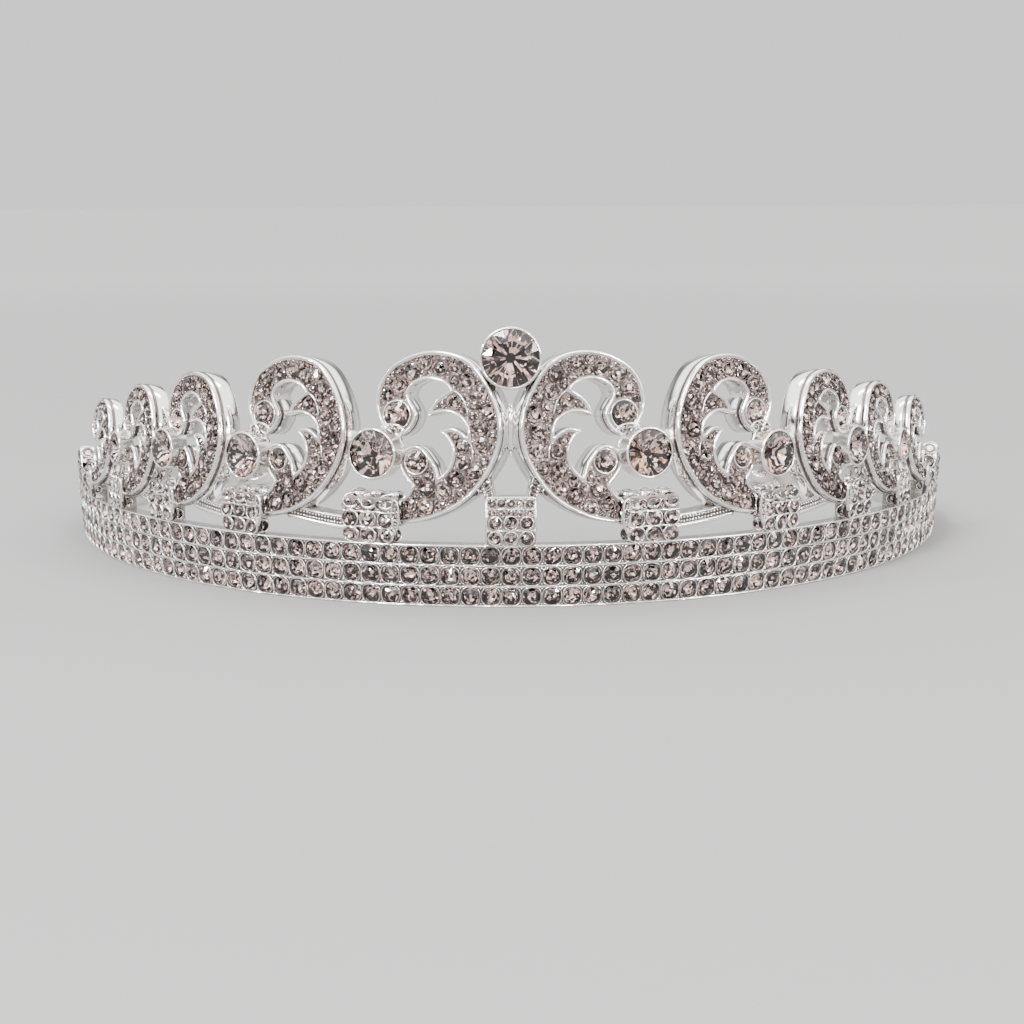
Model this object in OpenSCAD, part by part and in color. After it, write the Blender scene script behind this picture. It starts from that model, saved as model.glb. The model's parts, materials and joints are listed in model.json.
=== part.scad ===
// Rhinestone tiara: a leaning three-row band that runs round the head, ten open scrolls on it
// that shrink from the middle outwards, and a round cut stone on the two middle scrolls.
// Millimetres, +Z up. The front faces -Y, and the tiara stands on the lower edge of its band.

/* [Band] */
// Distance between neighbouring band stones, measured along the band
stone_pitch = 2.85; // [2.7:0.05:3]
// Height of the band
band_h = 9; // [8.8:0.1:9.4]
// Angle by which the band opens upwards
band_lean = 3.5; // [2:0.5:5]
// Radius of the front of the band at its lower edge
front_r = 75.5; // [73:0.5:78]
// Radius of the two rear bends
rear_r = 42.75; // [41:0.25:45]
// Thickness of the plain back wall of the band
wall_t = 1; // [0.8:0.1:1.4]
// Height of the thin rims between the rows of stones
rim_out = 0.9; // [0.7:0.1:1.1]
// Angle at which the band's rear ends run down
taper_angle = 5; // [0:0.5:7]

/* [Scrolls] */
// Height of the largest scroll
scroll_h = 24.3; // [23:0.1:25]
// Depth of the largest scroll from face to back
scroll_d = 4; // [3.6:0.1:4.6]
// Backward tilt of the scrolls
scroll_tilt = 7; // [5:0.5:9]
// Width of the polished rim round each scroll's face
scroll_rim = 0.5; // [0.4:0.05:0.6]

/* [Stones] */
// Diameter of a band stone
band_stone_d = 2.25; // [2:0.05:2.3]
// Diameter of the centre stone
centre_d = 7.8; // [7.4:0.1:8.2]
// Number of main facets round a large stone
facets = 12; // [8:2:14]

/* [Ends] */
// Outer diameter of the ring at each end of the band
ring_d = 6.6; // [6:0.1:7]
// Diameter of the hole in each end ring
ring_hole_d = 3; // [2.6:0.1:3.4]

/* [Hidden] */
$fn = 48;
eps = 0.01;
gap = 0.1;                                // room round every stone
silver = [0.83, 0.82, 0.80];
crystal = [0.88, 0.86, 0.84];

// Plan of the band
front_half = 75;                          // the front arc runs this far to each side
end_half = 150;                           // heading of the band where it ends
front_len = front_r*front_half*PI/180;
end_len = front_len + rear_r*(end_half - front_half)*PI/180;
bend_x = (front_r - rear_r)*sin(front_half);
bend_y = front_r - (front_r - rear_r)*cos(front_half);
seam_lap = 1.5;                           // degrees that the rear bends run into the front arc
seam_in = 0.05;                           // they are this much thinner on each face

// Section of the band
rows = 3;
row_h = band_h/rows;
edge_t = 0.35;                            // thickness of its thin rims
band_t = wall_t + rim_out;
taper_from = 108;                         // its upper edge runs down from here
taper_run = 10;                           // the cut is already above it this far in front
stones_each_side = 35;
band_stone_h = 1.15;
band_table = 0.6;                         // table against the diameter

// Cut stones, all against their diameter
crown_h = 0.16;
star_h = 0.1;
girdle_h = 0.03;
table_r = 0.29;
star_r = 0.41;
culet_r = 0.06;
link_pavilion = 0.36;
eye_pavilion = 0.24;

// Rings at the ends
ring_t = 1.4;
ring_back = 1.65;
ring_lap = 1.6;                           // the ring and the band's end share this much
ring_z = ring_d/2 + 0.3;

// Scrolls of one side: place of the middle along the band, size against the largest, height
// of the tail's lowest point, and turn of the face away from the middle
at = 0;
size = 1;
foot = 2;
turn = 3;
scrolls = [
    [10.5, 1.000, 11.4, 12],
    [32.0, 0.956, 11.4, 10],
    [51.1, 0.842, 11.0, 12],
    [65.2, 0.732, 10.9, 9],
    [79.6, 0.591, 10.8, 2]];
scroll_aspect = 0.77;                     // width of a scroll against its height
scroll_forward = 1;                       // the face stands this far in front of the band
scroll_sink = 0.5;                        // the field of small stones lies this deep in its rim
scroll_plate = 1;                         // metal behind that field
scroll_wall = 0.85;                       // side walls round the hollow back

// Outline of a scroll, in percent of its width, from the spine to the open side, and of its
// height, from the tail up; the last column is 1 at a sharp corner
across = 0;
up = 1;
corner = 2;
outline = [
    [92.3, 55.3, 0], [100.0, 70.1, 0], [89.9, 89.5, 0], [55.9, 100.0, 0], [21.9, 91.7, 0],
    [0.0, 57.0, 0], [16.2, 23.9, 0], [51.0, 5.2, 0], [94.0, 0.0, 1],
    [91.0, 11.5, 1], [76.0, 15.5, 0], [68.8, 22.8, 1],
    [80.2, 37.6, 0], [67.2, 45.9, 0], [53.0, 37.6, 0], [47.8, 28.0, 1],
    [39.4, 35.2, 0], [37.8, 44.5, 0], [42.3, 51.0, 0], [48.2, 54.7, 1],
    [37.2, 56.7, 0], [25.9, 51.9, 1],
    [29.1, 60.4, 0], [41.3, 65.5, 0], [57.9, 63.2, 1],
    [52.6, 71.8, 0], [40.8, 78.4, 1],
    [49.0, 82.9, 0], [64.0, 83.2, 0], [74.5, 75.8, 0], [67.2, 62.7, 0], [78.5, 51.3, 0]];
outline_step = 1.5;                       // length of the straights that make up its curves

// Round ends of a scroll, each with a stone: place in percent as above, and stone diameter
// against the scroll's height
eye_d = 2;
eyes = [[83.2, 63.0, 0.160], [66.4, 36.6, 0.135]];
eye_sink = 0.35;                          // the stone's widest line lies this far in the face

// Round stones between the scrolls: place along the band, height and diameter
link_z = 1;
link_d = 2;
links = [
    [19.2, 21.5, 6.5],
    [39.7, 20.2, 6.2],
    [56.3, 19.8, 5.4],
    [70.3, 18.4, 4.5]];
link_turn = 6;
link_tilt = 4;
link_y = -0.9;                            // the stone's widest line against the band's front
cup_wall = 0.3;
cup_back = 0.6;

// Clasping blocks at the tails: place along the band, width, height of the top, and depth
block_w = 1;
block_z = 2;
block_d = 3;
blocks = [
    [20.0, 8.2, 15.4, 5.2],
    [40.7, 7.4, 14.9, 5.0],
    [57.6, 6.8, 14.5, 4.6],
    [71.4, 5.8, 14.0, 4.2],
    [84.6, 4.6, 13.4, 3.6]];
block_turn = 5;
block_y = -0.3;
block_low = 11.2;                         // the block's upper part begins here
foot_in = 0.6;                            // the foot below it is this much narrower
foot_lap = 0.25;                          // and goes this far into the band's upper rim
foot_d = 2.2;
round_r = 0.9;

// Curved strips from each block to the next scroll
strip_h = 2;
strip_d = 2.6;
strip_y = 0.8;
strip_low = 10.2;
strip_rise = 1.5;
strip_steps = 8;

// Centre: stone, bridge and what joins them to the two middle scrolls
centre_z = 35;
centre_stone_y = -1.4;
centre_tilt = 4;
bridge_w = 7;
bridge_top = 15.7;
bridge_d = 2.6;
bridge_y = -0.7;
rod_r = 0.85;
bead_z = 26.3;
bead_r = 0.55;
bead_y = 2;

// Small leaf at each end of the row of scrolls
leaf_at = 93;
leaf_w = 5.6;
leaf_h = 7;
leaf_d = 2.2;
leaf_y = -0.7;
leaf_sink = 0.4;
leaf_outline = [
    [50, 0, 0], [92, 24, 0], [100, 60, 0], [50, 100, 0], [0, 60, 0], [8, 24, 0]];
leaf_step = 0.9;

// Plan of the band: place and heading at a length along it, for the +X side
function heading(s) =
    s < front_len ? s/front_r*180/PI : front_half + (s - front_len)/rear_r*180/PI;
function plan(s) = s < front_len
    ? [front_r*sin(heading(s)), front_r*(1 - cos(heading(s)))]
    : [bend_x + rear_r*sin(heading(s)), bend_y - rear_r*cos(heading(s))];

// Frame that stands on the band: X along it, Y inwards and Z up
module on_band(s, z = 0, turn = 0, tilt = 0) {
    translate([plan(s)[0], plan(s)[1], z])
        rotate([-tilt, 0, heading(s) + turn])
            children();
}
// Point of such a frame in the tiara's own frame
function on_band_point(s, z, turn, tilt, p) =
    let (h = heading(s) + turn,
         y = p[1]*cos(tilt) + p[2]*sin(tilt),
         u = p[2]*cos(tilt) - p[1]*sin(tilt))
    [plan(s)[0] + p[0]*cos(h) - y*sin(h), plan(s)[1] + p[0]*sin(h) + y*cos(h), z + u];

// The origin is under the middle of the tiara, halfway from the centre stone to the end rings
front_y = centre_stone_y - centre_d*(crown_h*cos(centre_tilt) + table_r*sin(centre_tilt));
back_y = on_band_point(end_len, 0, 0, 0, [ring_d - ring_lap, ring_back - ring_t, 0])[1];
module in_place() {
    translate([0, -(front_y + back_y)/2, 0]) children();
}

// One side of the tiara: 1 is +X, -1 is -X
module side(which) {
    if (which > 0) children();
    else mirror([1, 0, 0]) children();
}
module both() {
    side(1) children();
    side(-1) children();
}

// Round rod between two points
module rod(p, q, r) {
    v = q - p;
    translate(p) rotate([0, acos(v[2]/norm(v)), atan2(v[1], v[0])])
        cylinder(h = norm(v), r = r);
}

// Smooth closed curve through the rows of a table
function row(t, i) = t[(i + len(t)) % len(t)];
function xy(t, i) = [row(t, i)[across], row(t, i)[up]];
function unit(v) = v/norm(v);
function tangent(t, i, l) = unit(xy(t, i + 1) - xy(t, i - 1))*l;
function between(p, q, m, n, k) =
    p*(2*k*k*k - 3*k*k + 1) + m*(k*k*k - 2*k*k + k) + q*(3*k*k - 2*k*k*k) + n*(k*k*k - k*k);
function stretch(t, i, step) =
    let (p = xy(t, i), q = xy(t, i + 1), l = norm(q - p),
         sharp_p = row(t, i)[corner] == 1, sharp_q = row(t, i + 1)[corner] == 1,
         m = sharp_p ? (sharp_q ? q - p : 1.5*(q - p) - tangent(t, i + 1, l)/2) : tangent(t, i, l),
         n = sharp_q ? (sharp_p ? q - p : 1.5*(q - p) - tangent(t, i, l)/2) : tangent(t, i + 1, l),
         count = sharp_p && sharp_q ? 1 : max(2, ceil(l/step)))
    [for (k = [0 : count - 1]) between(p, q, m, n, k/count)];
function smooth(t, step) = [for (i = [0 : len(t) - 1]) each stretch(t, i, step)];
function sized(t, w, h) = [for (r = t) [(r[across]/100 - 0.5)*w, r[up]/100*h, r[corner]]];

// Rectangle with rounded upper corners, standing at height z
function block_outline(w, low, top, r) = concat(
    [[-w/2, low], [w/2, low]],
    [for (a = [0 : 15 : 90]) [w/2 - r + r*cos(a), top - r + r*sin(a)]],
    [for (a = [90 : 15 : 180]) [r - w/2 + r*cos(a), top - r + r*sin(a)]]);

// Upright plate in the XZ plane, from its face inwards
module plate(points, d, face = 0) {
    translate([0, face + d, 0]) rotate([90, 0, 0])
        linear_extrude(d) polygon(points);
}
module inner_plate(points, inset, d, face) {
    translate([0, face + d, 0]) rotate([90, 0, 0])
        linear_extrude(d) offset(delta = -inset) polygon(points);
}

// Cross-section of the band, X outwards from its front and Z up: a wall with thin rims above,
// below and between the rows of stones, sheared outwards
function sheared(p) = [p[0] + p[1]*tan(band_lean), p[1]];
function band_section(inset) =
    let (inner = inset - band_t, wall = wall_t - band_t - inset, outer = -inset)
    [for (p = concat(
        [[inner, band_h], [inner, 0], [outer, 0]],
        [for (i = [0 : rows - 1]) each [
            [outer, row_low(i)], [wall, row_low(i)], [wall, row_high(i)], [outer, row_high(i)]]],
        [[outer, band_h]])) sheared(p)];
function row_low(i) = i == 0 ? edge_t : i*row_h + edge_t/2;
function row_high(i) = i == rows - 1 ? band_h - edge_t : (i + 1)*row_h - edge_t/2;
function row_mid(i) = (row_low(i) + row_high(i))/2;

// The band: one front arc and two rear bends, cut lower towards its ends
module band() {
    difference() {
        union() {
            translate([0, front_r, 0]) rotate(-90 - front_half)
                rotate_extrude(angle = 2*front_half, $fn = 180)
                    translate([front_r, 0]) polygon(band_section(0));
            both() translate([bend_x, bend_y, 0]) rotate(front_half - seam_lap - 90)
                rotate_extrude(angle = end_half - front_half + seam_lap, $fn = 120)
                    translate([rear_r, 0]) polygon(band_section(seam_in));
        }
        translate([0, plan(taper_from)[1], band_h]) rotate([-taper_angle, 0, 0])
            translate([-front_r*1.5, -taper_run, 0])
                cube([front_r*3, front_r*1.5, band_h*2]);
    }
}

// Flat ring at the end of the band, for a ribbon or a comb
module end_ring(d, t) {
    on_band(end_len, ring_z) translate([ring_d/2 - ring_lap, ring_back + (t - ring_t)/2, 0])
        rotate([90, 0, 0]) cylinder(h = t, d = d);
}

// Cut stone that looks along -Y, its widest line at Y = 0: table, crown, girdle and pavilion
function ring_pts(n, r, y, half) =
    [for (i = [0 : n - 1]) let (a = 360*(i + (half ? 0.5 : 0))/n) [r*cos(a), y, r*sin(a)]];
module cut_stone(d, pavilion, n) {
    points = concat(
        ring_pts(n, d*table_r, -d*crown_h, false),
        ring_pts(n, d*star_r, -d*star_h, true),
        ring_pts(n, d/2, -d*girdle_h, false),
        ring_pts(n, d/2, 0, false),
        ring_pts(n, d*culet_r, d*pavilion, false));
    faces = concat(
        [[for (i = [0 : n - 1]) i]],
        [for (i = [0 : n - 1]) let (j = (i + 1) % n) each [
            [i, n + i, j], [j, n + i, n + j],
            [n + i, 2*n + i, 2*n + j], [n + i, 2*n + j, n + j],
            [2*n + i, 3*n + i, 3*n + j], [2*n + i, 3*n + j, 2*n + j],
            [3*n + i, 4*n + i, 4*n + j], [3*n + i, 4*n + j, 3*n + j]]],
        [[for (i = [n - 1 : -1 : 0]) 4*n + i]]);
    polyhedron(points, faces);
}
// Room for that stone
module seat(d, pavilion, front) {
    rotate([-90, 0, 0]) {
        translate([0, 0, -front]) cylinder(h = front + gap, r = d/2 + gap);
        translate([0, 0, gap - eps]) cylinder(h = d*pavilion, r1 = d/2 + gap, r2 = d*culet_r + gap);
    }
}
// Round cup behind it
module cup(d, pavilion) {
    rotate([-90, 0, 0]) cylinder(h = d*pavilion + cup_back, r = d/2 + gap + cup_wall);
}

// One scroll: polished rim, sunk field for small stones, deep side walls and hollow back
module scroll(k) {
    h = scroll_h*k;
    d = scroll_d*k;
    points = smooth(sized(outline, scroll_aspect*h, h), outline_step);
    difference() {
        plate(points, d);
        inner_plate(points, scroll_rim, scroll_sink + eps, -eps);
        inner_plate(points, scroll_wall, d, scroll_sink + scroll_plate);
    }
}
module eye_seats(i) {
    h = scroll_h*scrolls[i][size];
    scroll_place(i) for (e = eyes) eye_place(e, h) seat(e[eye_d]*h, eye_pavilion, eye_sink + 1);
}
module scroll_place(i) {
    k = scrolls[i];
    on_band(k[at], k[foot], k[turn], scroll_tilt) translate([0, scroll_y(i), 0]) children();
}
function scroll_y(i) = (scrolls[i][foot] - band_h)*tan(scroll_tilt) - scroll_forward;
module eye_place(e, h) {
    translate([(e[across]/100 - 0.5)*scroll_aspect*h, eye_sink, e[up]/100*h]) children();
}
// Point of a scroll in the tiara's frame, from percentages and a depth
function scroll_point(i, across_pc, up_pc, depth) =
    let (k = scrolls[i], h = scroll_h*k[size])
    on_band_point(k[at], k[foot], k[turn], scroll_tilt,
        [(across_pc/100 - 0.5)*scroll_aspect*h, scroll_y(i) + depth, up_pc/100*h]);

// Link stones, each in its cup, joined to the scrolls on both sides
module link_place(i) {
    k = links[i];
    on_band(k[at], k[link_z], link_turn, link_tilt) translate([0, link_y, 0]) children();
}
function link_point(i, p) =
    on_band_point(links[i][at], links[i][link_z], link_turn, link_tilt, p + [0, link_y, 0]);
module link_joint(i) {
    d = links[i][link_d];
    back = [0, d*link_pavilion, 0];
    rod(link_point(i, back), scroll_point(i, 86, 55, 1.3), rod_r*scrolls[i][size]);
    rod(link_point(i, back), scroll_point(i + 1, 3.5, 50, 1.6), rod_r*scrolls[i][size]);
    if (i > 0)
        rod(link_point(i, back - [0, 0, d*0.4]),
            on_band_point(strip_end(i) - 4, 0, 0, 0, [0, strip_y + 1, strip_low + strip_h/2]),
            rod_r*0.55);
}

// Clasping block on the band's upper edge
module block(i) {
    k = blocks[i];
    on_band(k[at], 0, block_turn) {
        plate(block_outline(k[block_w], block_low, k[block_z], round_r), k[block_d], block_y);
        plate(block_outline(k[block_w] - 2*foot_in, band_h - foot_lap, block_low + round_r, round_r/2),
            foot_d, block_y);
    }
}

// Curved strip from a block to the underside of the next scroll
function strip_end(i) = scrolls[i + 1][at] + 1;
module strip(i) {
    from = blocks[i][at];
    to = strip_end(i);
    half = (to - from)/2;
    lower = [for (k = [0 : strip_steps])
        let (t = k/strip_steps) [half*(2*t - 1), strip_low + strip_rise*t*t]];
    upper = [for (k = [strip_steps : -1 : 0]) lower[k] + [0, strip_h]];
    on_band((from + to)/2, 0, 0) plate(concat(lower, upper), strip_d, strip_y);
}

// Bridge in the middle of the band, with an arm to each middle scroll
module bridge() {
    plate(block_outline(bridge_w, band_h - foot_lap, bridge_top, round_r/2), bridge_d, bridge_y);
    both() rod([bridge_w/2 - rod_r, bridge_y + bridge_d/2, bridge_top - rod_r - 0.3],
               scroll_point(0, 13, 29, 1.8), rod_r);
}
module centre_place() {
    translate([0, centre_stone_y, centre_z]) rotate([-centre_tilt, 0, 0]) children();
}
module centre_joint() {
    both() rod([0, centre_stone_y + centre_d*link_pavilion, centre_z - centre_d*0.3],
               scroll_point(0, 9, 82, 1.6), rod_r);
    translate([-1.5, bead_y, bead_z]) rotate([0, 90, 0]) cylinder(h = 3, r = bead_r);
}

// Small upright leaf
module leaf() {
    points = smooth(sized(leaf_outline, leaf_w, leaf_h), leaf_step);
    on_band(leaf_at, band_h - foot_lap, 0) difference() {
        plate(points, leaf_d, leaf_y);
        inner_plate(points, scroll_rim, leaf_sink + eps, leaf_y - eps);
    }
}

// All the metal, cast and soldered into one piece
module frame() color(silver) in_place() difference() {
    union() {
        band();
        bridge();
        centre_joint();
        centre_place() cup(centre_d, link_pavilion);
        both() {
            end_ring(ring_d, ring_t);
            leaf();
            for (i = [0 : len(scrolls) - 1]) {
                scroll_place(i) scroll(scrolls[i][size]);
                block(i);
            }
            for (i = [0 : len(links) - 1]) {
                strip(i);
                link_joint(i);
                link_place(i) cup(links[i][link_d], link_pavilion);
            }
        }
    }
    both() {
        end_ring(ring_hole_d, ring_t + 2*eps);
        for (i = [0 : len(links) - 1])
            link_place(i) seat(links[i][link_d], link_pavilion, 1);
        for (i = [0 : len(scrolls) - 1])
            eye_seats(i);
    }
    centre_place() seat(centre_d, link_pavilion, 1);
}

// Stones
module band_stone() {
    rotate([90, 0, 0])
        cylinder(h = band_stone_h, d1 = band_stone_d, d2 = band_stone_d*band_table, $fn = 8);
}
module band_stones() color(crystal) in_place() {
    for (i = [0 : rows - 1], j = [0 : stones_each_side])
        for (which = (j == 0 ? [1] : [-1, 1]))
            side(which) on_band(j*stone_pitch, row_mid(i), 0, -band_lean)
                translate([0, rim_out - gap - row_mid(i)*tan(band_lean), 0]) band_stone();
}
module centre_stone() color(crystal) in_place()
    centre_place() cut_stone(centre_d, link_pavilion, facets + 4);
module link_stone(i, which) color(crystal) in_place()
    side(which) link_place(i) cut_stone(links[i][link_d], link_pavilion, facets);
module eye_stone(i, j, which) color(crystal) in_place() side(which) scroll_place(i)
    eye_place(eyes[j], scroll_h*scrolls[i][size])
        cut_stone(eyes[j][eye_d]*scroll_h*scrolls[i][size], eye_pavilion, facets - 2);

frame();
band_stones();
centre_stone();
for (i = [0 : len(links) - 1]) {
    link_stone(i, 1);
    link_stone(i, -1);
}
for (i = [0 : len(scrolls) - 1]) {
    eye_stone(i, 0, 1);
    eye_stone(i, 0, -1);
    eye_stone(i, 1, 1);
    eye_stone(i, 1, -1);
}
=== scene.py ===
import json

import bpy
import numpy as np
from mathutils import Matrix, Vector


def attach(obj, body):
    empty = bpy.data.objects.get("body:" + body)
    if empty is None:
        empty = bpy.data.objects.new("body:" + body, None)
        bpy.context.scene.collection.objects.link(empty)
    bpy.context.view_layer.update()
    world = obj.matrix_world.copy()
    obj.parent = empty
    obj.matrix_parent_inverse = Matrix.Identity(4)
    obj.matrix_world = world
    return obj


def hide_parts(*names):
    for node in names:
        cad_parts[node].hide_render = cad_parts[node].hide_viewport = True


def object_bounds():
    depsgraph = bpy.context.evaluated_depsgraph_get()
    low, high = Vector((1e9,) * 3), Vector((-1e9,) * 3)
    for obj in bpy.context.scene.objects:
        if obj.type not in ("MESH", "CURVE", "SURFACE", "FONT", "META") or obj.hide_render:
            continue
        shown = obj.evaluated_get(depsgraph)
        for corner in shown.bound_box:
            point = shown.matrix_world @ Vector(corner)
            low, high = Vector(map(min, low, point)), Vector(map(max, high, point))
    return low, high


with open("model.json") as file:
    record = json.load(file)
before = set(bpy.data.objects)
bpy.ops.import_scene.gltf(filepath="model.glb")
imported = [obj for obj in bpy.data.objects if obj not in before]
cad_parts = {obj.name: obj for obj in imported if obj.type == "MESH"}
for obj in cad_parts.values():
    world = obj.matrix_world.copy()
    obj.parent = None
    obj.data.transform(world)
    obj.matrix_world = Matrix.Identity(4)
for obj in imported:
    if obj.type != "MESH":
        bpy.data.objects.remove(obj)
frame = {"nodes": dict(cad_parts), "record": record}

cad_low, cad_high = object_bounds()
MM = 0.001
BOX = np.array([cad_low, cad_high]) / MM
random = np.random.default_rng(11)
rad = np.radians
np.seterr(divide="ignore", invalid="ignore")

# Plan and section of the band, as in the solids; every length below is in millimetres
STONE_PITCH = 2.85
BAND_H = 9.0
BAND_LEAN = 3.5
FRONT_R = 75.5
REAR_R = 42.75
FRONT_HALF = 75.0
END_HALF = 150.0
ROWS = 3
ROW_H = BAND_H / ROWS
EDGE_T = 0.35
BAND_T = 1.9
TAPER_FROM = 108.0
TAPER_ANGLE = 5.0
FRONT_LEN = rad(FRONT_HALF) * FRONT_R
END_LEN = FRONT_LEN + rad(END_HALF - FRONT_HALF) * REAR_R
BEND_X = (FRONT_R - REAR_R) * np.sin(rad(FRONT_HALF))
BEND_Y = FRONT_R - (FRONT_R - REAR_R) * np.cos(rad(FRONT_HALF))
STONES_EACH_SIDE = 42
BAND_STONE_D = 2.45

# The rest mount lies under the middle of the band's front, half its thickness inwards
REST = next(m for m in frame["record"]["mounts"] if m["name"] == "rest_face")
CENTRE_Y = BAND_T / 2 - REST["pos_m"][1] / MM

# Sides of the tiara, by the sign of X
HANDS = {1: "right", -1: "left"}

# Scrolls of one side: place along the band, size, height of the tail, turn
SCROLLS = [
    (10.5, 1.000, 11.4, 12),
    (32.0, 0.956, 11.4, 10),
    (51.1, 0.842, 11.0, 12),
    (65.2, 0.732, 10.9, 9),
    (79.6, 0.591, 10.8, 2)]
SCROLL_H = 24.3
SCROLL_D = 4.0
SCROLL_ASPECT = 0.77
SCROLL_TILT = 7.0
SCROLL_FORWARD = 1.0
FIELD_SINK = 0.5
RIM = 0.5
OUTLINE = [
    (92.3, 55.3, 0), (100.0, 70.1, 0), (89.9, 89.5, 0), (55.9, 100.0, 0), (21.9, 91.7, 0),
    (0.0, 57.0, 0), (16.2, 23.9, 0), (51.0, 5.2, 0), (94.0, 0.0, 1),
    (91.0, 11.5, 1), (76.0, 15.5, 0), (68.8, 22.8, 1),
    (80.2, 37.6, 0), (67.2, 45.9, 0), (53.0, 37.6, 0), (47.8, 28.0, 1),
    (39.4, 35.2, 0), (37.8, 44.5, 0), (42.3, 51.0, 0), (48.2, 54.7, 1),
    (37.2, 56.7, 0), (25.9, 51.9, 1),
    (29.1, 60.4, 0), (41.3, 65.5, 0), (57.9, 63.2, 1),
    (52.6, 71.8, 0), (40.8, 78.4, 1),
    (49.0, 82.9, 0), (64.0, 83.2, 0), (74.5, 75.8, 0), (67.2, 62.7, 0), (78.5, 51.3, 0)]
OUTLINE_STEP = 0.4
PLATE_STEP = 0.3

# Pave: radii of its stones and beads, the gaps between them, the grid of places that they are
# chosen from, how much of the field the rim covers, and the room in front of the field's floor
PAVE_SIZES = [1.2, 1.1, 1.0, 0.9, 0.8, 0.71, 0.63, 0.56, 0.5, 0.44, 0.38, 0.33, 0.28, 0.24]
TINY_R = 0.45
BEAD_R = 0.13
STONE_GAP = 0.03
BEAD_GAP = 0.02
PACK_STEP = 0.13
RIM_COVER = RIM * 0.9
FIELD_ROOM = 0.42
# Diameter of a stone against the radius of its place
PAVE_FILL = 1.97

# Round ends of a scroll: place in percent, and stone diameter against the scroll's height
EYES = {"upper_stone": (83.2, 63.0, 0.160), "lower_stone": (66.4, 36.6, 0.135)}
TAIL_STONE = (80.5, 8.2, 0.052)
EYE_SINK = 0.35

# Link stones: place along the band, height, diameter
LINKS = [
    (19.2, 21.5, 6.5),
    (39.7, 20.2, 6.2),
    (56.3, 19.8, 5.4),
    (70.3, 18.4, 4.5)]
LINK_TURN = 6.0
LINK_TILT = 4.0
LINK_Y = -0.9

# Blocks: place along the band, width, height of the top, depth
BLOCKS = [
    (20.0, 8.2, 15.4, 5.2),
    (40.7, 7.4, 14.9, 5.0),
    (57.6, 6.8, 14.5, 4.6),
    (71.4, 5.8, 14.0, 4.2),
    (84.6, 4.6, 13.4, 3.6)]
BLOCK_TURN = 5.0
BLOCK_Y = -0.3
BLOCK_LOW = 11.2
FOOT_IN = 0.6

# Strips between the blocks and the next scrolls
STRIP_H = 2.0
STRIP_Y = 0.8
STRIP_LOW = 10.2
STRIP_RISE = 1.5
STRIP_LAP = 1.0

# Centre
CENTRE_D = 7.8
CENTRE_Z = 35.0
CENTRE_STONE_Y = -1.4
CENTRE_TILT = 4.0
BRIDGE_W = 7.0
BRIDGE_TOP = 15.7
BRIDGE_Y = -0.7
SOLDER_Z = 26.3
SOLDER_Y = 0.7

# Leaves and rings at the ends
LEAF_AT = 93.0
LEAF_W = 5.6
LEAF_H = 7.0
LEAF_Y = -0.7
LEAF_SINK = 0.4
LEAF_FOOT = 8.75
LEAF_D = 2.2
# Raised stones round its edge: place in percent, diameter
LEAF_CLUSTER = [
    (14, 9, 1.8), (3, 33, 2.2), (-3, 60, 2.3), (21, 85, 2.0),
    (86, 9, 1.8), (97, 33, 2.2), (103, 60, 2.3), (79, 85, 2.0)]
LEAF_OUTLINE = [(50, 0, 0), (92, 24, 0), (100, 60, 0), (50, 100, 0), (0, 60, 0), (8, 24, 0)]
RING_D = 6.6
RING_HOLE_D = 3.0
RING_T = 1.4
RING_BACK = 1.65
RING_LAP = 1.6
RING_Z = RING_D / 2 + 0.3

# Cut stones, against their diameter
CROWN_H = 0.16
STAR_H = 0.10
GIRDLE_H = 0.03
TABLE_R = 0.19
STAR_R = 0.34
CHATON_TABLE_R = 0.31
CHATON_STAR_R = 0.38
OUTER_R = 0.36
INNER_R = 0.22
RAY_R = 0.27
CULET_R = 0.09
# How far the points of the back stray, against their radius
FACET_WANDER = 0.14
RAY_WANDER = 0.02
# Depth of the back
BIG_PAVILION = 0.35
EYE_PAVILION = 0.24
DEEP_PAVILION = 0.32
FLAT_PAVILION = 0.19
# Turn of the large stones about their own axis
BIG_STONE_TURN = 7.0


# Placing

def shift(x, y, z):
    m = np.eye(4)
    m[:3, 3] = x, y, z
    return m


def spin(axis, degrees):
    c, s = np.cos(rad(degrees)), np.sin(rad(degrees))
    i, j = {"x": (1, 2), "y": (2, 0), "z": (0, 1)}[axis]
    m = np.eye(4)
    m[i, i] = m[j, j] = c
    m[j, i] = s
    m[i, j] = -s
    return m


def grow(x, *yz):
    return np.diag([x, *(yz or (x, x)), 1.0])


def heading(s):
    if s < FRONT_LEN:
        return np.degrees(s / FRONT_R)
    return FRONT_HALF + np.degrees((s - FRONT_LEN) / REAR_R)


def plan(s):
    h = rad(heading(s))
    if s < FRONT_LEN:
        return FRONT_R * np.sin(h), FRONT_R * (1 - np.cos(h))
    return BEND_X + REAR_R * np.sin(h), BEND_Y - REAR_R * np.cos(h)


def on_band(side, s, z=0.0, turn=0.0, tilt=0.0):
    """Frame that stands on the band: X along it, Y inwards, Z up. side is 1 for +X, -1 for -X."""
    x, y = plan(s)
    return shift(side * x, y - CENTRE_Y, z) @ spin("z", side * (heading(s) + turn)) @ spin("x", -tilt)


def point(m, p):
    return m[:3, :3] @ np.asarray(p, float) + m[:3, 3]


def look_at(at, towards):
    """Frame at a point whose -Y looks along a direction."""
    y = -np.asarray(towards, float) / np.linalg.norm(towards)
    x = np.cross(y, [0, 0, 1.0])
    x /= np.linalg.norm(x)
    m = np.eye(4)
    m[:3] = np.transpose([x, y, np.cross(x, y), at])
    return m


# Shapes: (vertices, [(faces, material index, smooth)])

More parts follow.
